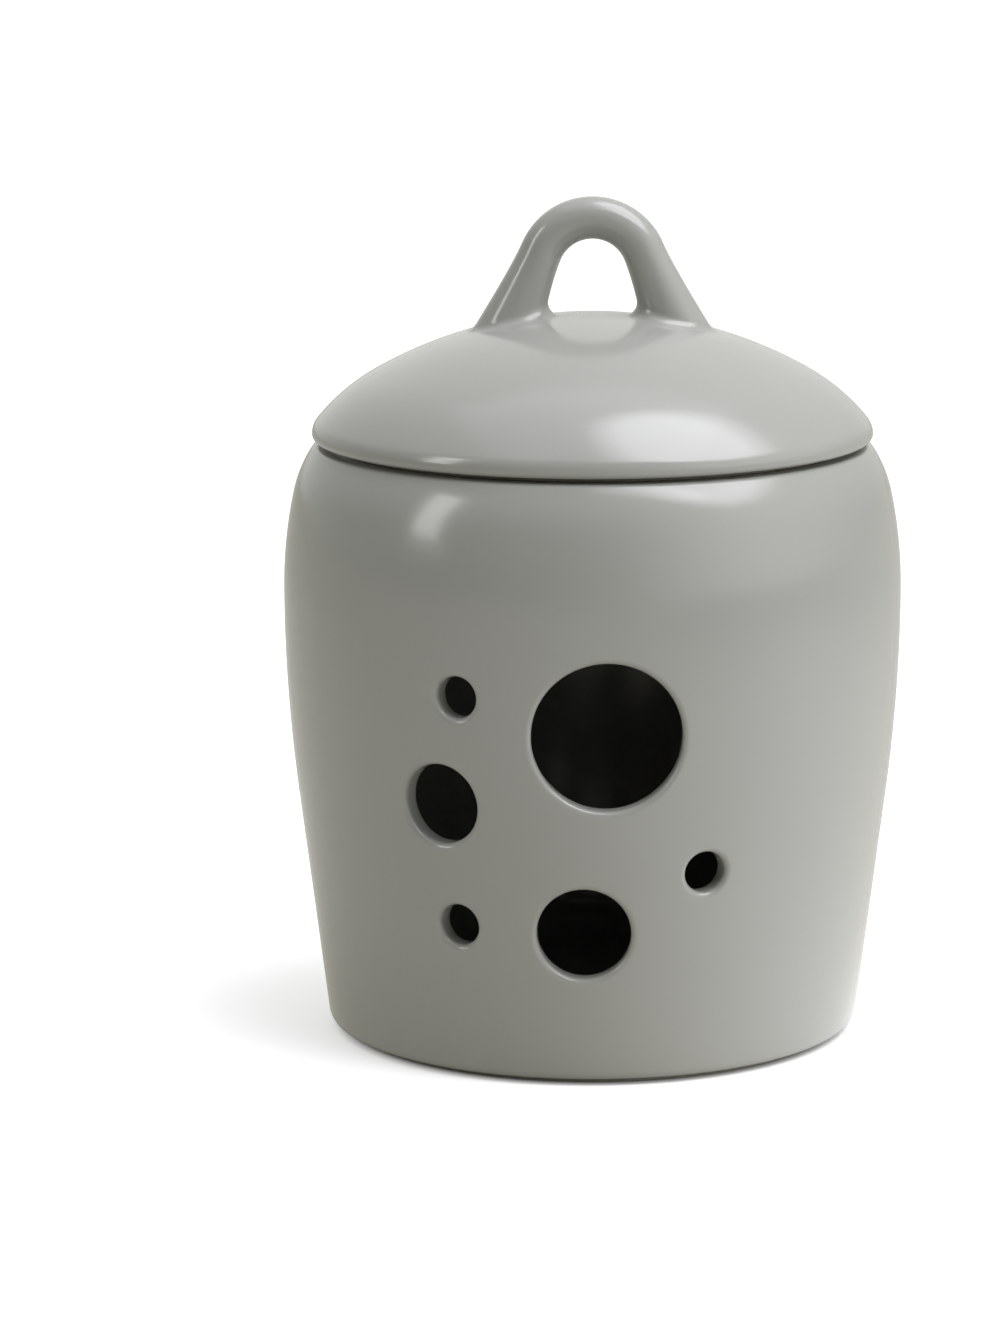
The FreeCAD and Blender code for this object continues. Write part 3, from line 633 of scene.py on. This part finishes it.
def foot_rings(side):
    """Sections down one leg, then the slip fillet out on to the dome, one array per ring."""
    # Where each strand of the leg comes down on the dome
    ball = np.array([0.0, 0.0, lid_top - crown_arc])
    leg = np.array([leg_ring(side, way) for way in np.linspace(0, leg_overrun, leg_samples)])
    above = np.linalg.norm(leg - ball, axis=2) - crown_arc
    landing = np.argmax(above < 0, axis=0)
    strands = np.arange(strand_count)
    before, after = above[landing - 1, strands], above[landing, strands]
    share = (before / (before - after))[:, None]
    foot = leg[landing - 1, strands] * (1 - share) + leg[landing, strands] * share

    # The fillet's reach along leg and dome, from the angle of air between them
    edge = unit(np.roll(foot, -1, axis=0) - np.roll(foot, 1, axis=0))
    out = np.cross(edge, unit(foot - ball))
    out *= np.sign(((foot - foot.mean(axis=0)) * out).sum(axis=1))[:, None]
    out = unit(out)
    down = unit(leg[landing, strands] - leg[landing - 1, strands])
    air_angle = np.arccos(np.clip((-down * out).sum(axis=1), -1, 1))
    tangent = luting / np.tan(air_angle / 2)
    step_lengths = np.linalg.norm(np.diff(leg, axis=0), axis=2)
    lengths = np.vstack([np.zeros(strand_count), np.cumsum(step_lengths, axis=0)])
    foot_length = lengths[landing - 1, strands] + np.linalg.norm(foot - leg[landing - 1, strands], axis=1)
    start_length = foot_length - tangent

    def strand_points(wanted):
        """The point of each strand at its own length down the leg."""
        found = np.empty((strand_count, 3))
        for strand in strands:
            for axis in range(3):
                found[strand, axis] = np.interp(wanted[strand], lengths[:, strand], leg[:, strand, axis])
        return found

    # Down the leg, then round the fillet on a curve that matches a circle's arc
    rings = [strand_points(start_length * step / leg_rings) for step in range(1, leg_rings + 1)]
    start = rings[-1]
    arrive = unit(start - strand_points(start_length - look_back))
    landed = ball + unit(foot + out * tangent[:, None] - ball) * (crown_arc - buried_depth)
    upright = unit(landed - ball)
    leave = unit(out - upright * (out * upright).sum(axis=1)[:, None])
    pull = (4 / 3 * np.tan((math.pi - air_angle) / 4) * luting)[:, None]
    for step in range(1, fillet_rings + 1):
        t = step / fillet_rings
        ring = start * (1 - t) ** 3 + (start + arrive * pull) * 3 * t * (1 - t) ** 2
        ring += (landed - leave * pull) * 3 * t * t * (1 - t) + landed * t ** 3
        rings.append(ring)
    tucked = ball + unit(landed + leave * tuck_reach - ball) * (crown_arc - 3 * buried_depth)
    under = ball + upright * (crown_arc - cap_depth)
    return rings + [tucked, under]


def loop_mesh():
    """The closed loop: rings over the arch, down both legs, and a cap inside the dome under each foot."""
    arch = np.linspace(-1, 1, 2 * arc_rings + 1)
    rings = foot_rings(-1)[::-1]
    rings += [loop_ring(1 if bend > 0 else -1, abs(bend), 0.0) for bend in arch]
    rings += foot_rings(1)
    shape = bmesh.new()
    made = [[shape.verts.new(point) for point in ring] for ring in rings]
    for lower, upper in zip(made, made[1:]):
        for strand in range(strand_count):
            following = (strand + 1) % strand_count
            shape.faces.new([lower[strand], lower[following], upper[following], upper[strand]])
    for cap in (made[0], made[-1]):
        middle = shape.verts.new(sum((vert.co for vert in cap), Vector()) / strand_count)
        for strand in range(strand_count):
            shape.faces.new([cap[strand], cap[(strand + 1) % strand_count], middle])
    bmesh.ops.recalc_face_normals(shape, faces=shape.faces)
    mesh = bpy.data.meshes.new("lid_loop")
    shape.to_mesh(mesh)
    shape.free()
    attribute = mesh.attributes.new("glaze", "FLOAT", "POINT")
    attribute.data.foreach_set("value", [1.0] * len(mesh.vertices))
    mesh.materials.append(glaze)
    mesh.shade_smooth()
    return mesh


loop = bpy.data.objects.new("lid_loop", loop_mesh())
bpy.context.scene.collection.objects.link(loop)
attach(loop, "lid")
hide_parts("lid_handle")


# ---------------------------------------------------------------- table and backdrop
# A matt white table top that runs back into a white background. To the camera it is lifted to white and
# keeps the soft shadow at the jar's foot, where dropping the lift in a ring paints that shadow darker.
# What it throws back at the glaze is set apart from that, and is dimmed round the foot as painted shade.
table_reach = 4.0
table_roughness, table_specular = 0.9, 0.1
# Grey far off, what is added near the jar, and what is added there again for the camera
far_tone, near_tone, seen_tone = 0.20, 0.10, 0.50
fade_start, fade_end = 0.20, 0.75  # from near to far, in metres from the jar's axis
near_lift = 0.42  # the camera's lift to white near the jar; far off it is 1
# Thrown at the glaze: all round, then more near the jar and less far off towards one bearing
throw_back, right_glow, right_fall, right_bearing = 0.32, 0.94, 0.20, 70
warm_light, white_light = (1.06, 1.0, 0.80, 1), (1, 1, 1, 1)
# Painted shadow round the foot ring: radii in metres over which the camera's lift and the glow thrown at the
# glaze rise from none to full
painted_foot_shadow, painted_bounce_shade = (0.0485, 0.0525), (0.0488, 0.0550)  # dark to light, round the foot ring


def heading(bearing, elevation):
    """The direction at this bearing from the front towards +X and this elevation, in degrees."""
    turn, rise = math.radians(bearing), math.radians(elevation)
    return Vector((math.sin(turn) * math.cos(rise), -math.cos(turn) * math.cos(rise), math.sin(rise)))


def toward(tree, direction, bearing, elevation):
    """How far a direction points towards a bearing and elevation, from 0 to 1, as a field."""
    node = add(tree, "ShaderNodeVectorMath", {"operation": "DOT_PRODUCT"}, vector=direction)
    node.inputs[1].default_value = heading(bearing, elevation)
    return Field(tree, node.outputs["Value"]).math("MAXIMUM", 0.0)


def ramp(tree, value, low, high):
    """Rises smoothly from 0 at low to 1 at high, as a field."""
    return Field(tree, spread(tree, value, (low, high), (0, 1), "SMOOTHSTEP"))


def camera_sees(tree):
    """1 where the camera looks straight at the surface, and 0 for the light that it sends elsewhere."""
    return Field(tree, add(tree, "ShaderNodeLightPath").outputs["Is Camera Ray"])


def table_material():
    material = bpy.data.materials.new("white_table")
    material.use_nodes = True
    tree = material.node_tree
    shader = tree.nodes["Principled BSDF"]
    shader.inputs["Roughness"].default_value = table_roughness
    shader.inputs["Specular IOR Level"].default_value = table_specular

    place = add(tree, "ShaderNodeTexCoord").outputs["Object"]
    distance = add(tree, "ShaderNodeVectorMath", {"operation": "LENGTH"}, vector=place).outputs["Value"]
    outward = add(tree, "ShaderNodeVectorMath", {"operation": "NORMALIZE"}, vector=place).outputs["Vector"]
    far = ramp(tree, distance, fade_start, fade_end)
    near = 1 - far
    seen = camera_sees(tree)
    feed(tree, near * (seen * seen_tone + near_tone) + far_tone, shader.inputs["Base Color"])

    on_right = toward(tree, outward, right_bearing, 0) ** 2
    thrown = on_right * (near * right_glow - right_fall) + throw_back
    # Painted shade: the glow thrown at the glaze fades out round the jar's foot
    thrown = thrown * ramp(tree, distance, *painted_bounce_shade)
    # Painted shadow: the camera's lift to white is dropped round the foot ring, so the table reads darker
    # there
    lifted = (far * (1 - near_lift) + near_lift) * ramp(tree, distance, *painted_foot_shadow)
    feed(tree, blend(tree, seen, thrown, lifted), shader.inputs["Emission Strength"])
    neutral = seen.math("MAXIMUM", on_right)
    feed(tree, blend(tree, neutral, warm_light, white_light, "RGBA"), shader.inputs["Emission Color"])
    return material


table = bpy.data.objects.new("table", bpy.data.meshes.new("table"))
corners = [(x * table_reach, y * table_reach, 0) for x, y in ((-1, -1), (1, -1), (1, 1), (-1, 1))]
table.data.from_pydata(corners, [], [(0, 1, 2, 3)])
table.data.materials.append(table_material())
bpy.context.scene.collection.objects.link(table)


# ---------------------------------------------------------------- light
# An oval softbox high at the right, with a fading edge and a wing towards the front, a strip with a fading
# edge at the left, and a wide panel overhead. The walls of a pale room send back soft light, brightest at
# the right and behind, and none from the front.
cool_light, plain_light = (0.992, 0.985, 1.06), (1.0, 1.0, 1.0)
wall_tone = (0.985, 1.0, 0.955, 1)
aim = Vector((0, 0, 0.1))
wall_focus = 4  # how closely each patch of wall light keeps to its own direction


def softbox(name, bearing, elevation, distance, shape, width, height, radiance, roll=0, tint=cool_light):
    """An area lamp aimed at the jar, turned by roll about its own axis. Angles are in degrees."""
    lamp = bpy.data.lights.new(name, "AREA")
    lamp.shape = shape
    lamp.size, lamp.size_y = width, height
    area = width * height if shape == "RECTANGLE" else math.pi * width * height / 4
    lamp.energy = math.pi * area * radiance
    lamp.color = tint
    holder = bpy.data.objects.new(name, lamp)
    away = heading(bearing, elevation)
    holder.location = aim + away * distance
    holder.rotation_mode = "QUATERNION"
    holder.rotation_quaternion = away.to_track_quat("Z", "Y") @ Quaternion((0, 0, 1), math.radians(roll))
    bpy.context.scene.collection.objects.link(holder)


# name, bearing, elevation, distance, shape, width, height, radiance
softbox("right_softbox", 71, 61, 1.2, "ELLIPSE", 0.78, 1.18, 2.45, roll=-18)
softbox("right_softbox_edge", 71, 61, 1.25, "ELLIPSE", 1.12, 1.46, 2.45, roll=-18)
softbox("right_softbox_wing", 31, 53, 1.25, "ELLIPSE", 0.84, 0.25, 2.6, roll=-31)
softbox("left_strip", -65, 24, 1.2, "RECTANGLE", 0.23, 0.62, 4.2, tint=plain_light)
softbox("left_strip_edge", -65, 24, 1.25, "RECTANGLE", 0.42, 0.80, 0.8, tint=plain_light)
softbox("top_panel", 0, 90, 1.5, "RECTANGLE", 1.6, 1.6, 0.58)

# bearing, elevation, strength
wall_light = [
    (60, 0, 1.50),
    (90, 45, 0.75),
    (150, 0, 0.18),
    (180, 0, 0.31),
    (180, 45, 0.59),
    (-150, 0, 0.44),
    (-110, 0, 0.17),
    (-90, 45, 0.35),
]

world = bpy.data.worlds.new("room")
bpy.context.scene.world = world
world.use_nodes = True
tree = world.node_tree
background = tree.nodes["Background"]
direction = add(tree, "ShaderNodeTexCoord").outputs["Generated"]
room = sum(toward(tree, direction, bearing, rise) ** wall_focus * glow for bearing, rise, glow in wall_light)
seen = camera_sees(tree)
feed(tree, room.math("MAXIMUM", seen), background.inputs["Strength"])
feed(tree, blend(tree, seen, wall_tone, white_light, "RGBA"), background.inputs["Color"])


# ---------------------------------------------------------------- camera
# A long lens a metre in front of the jar, a little above it, looking slightly down. The frame is
# 1333 high, and the lens and the sideways shift are given in the same pixels.
camera_back, camera_height, look_down = 0.999, 0.2647, 10.93
frame_height, lens_pixels, shift_pixels, sensor_width = 1333, 5120, -92.5, 36

camera = bpy.data.objects.new("camera", bpy.data.cameras.new("camera"))
camera.location = (0, -camera_back, camera_height)
camera.rotation_euler = (math.radians(90 - look_down), 0, 0)
camera.data.sensor_width = sensor_width
camera.data.lens = lens_pixels * sensor_width / frame_height
camera.data.shift_x = shift_pixels / frame_height
camera.data.clip_start, camera.data.clip_end = 0.05, 50
bpy.context.scene.collection.objects.link(camera)
bpy.context.scene.camera = camera
bpy.context.scene.view_settings.view_transform = "Standard"
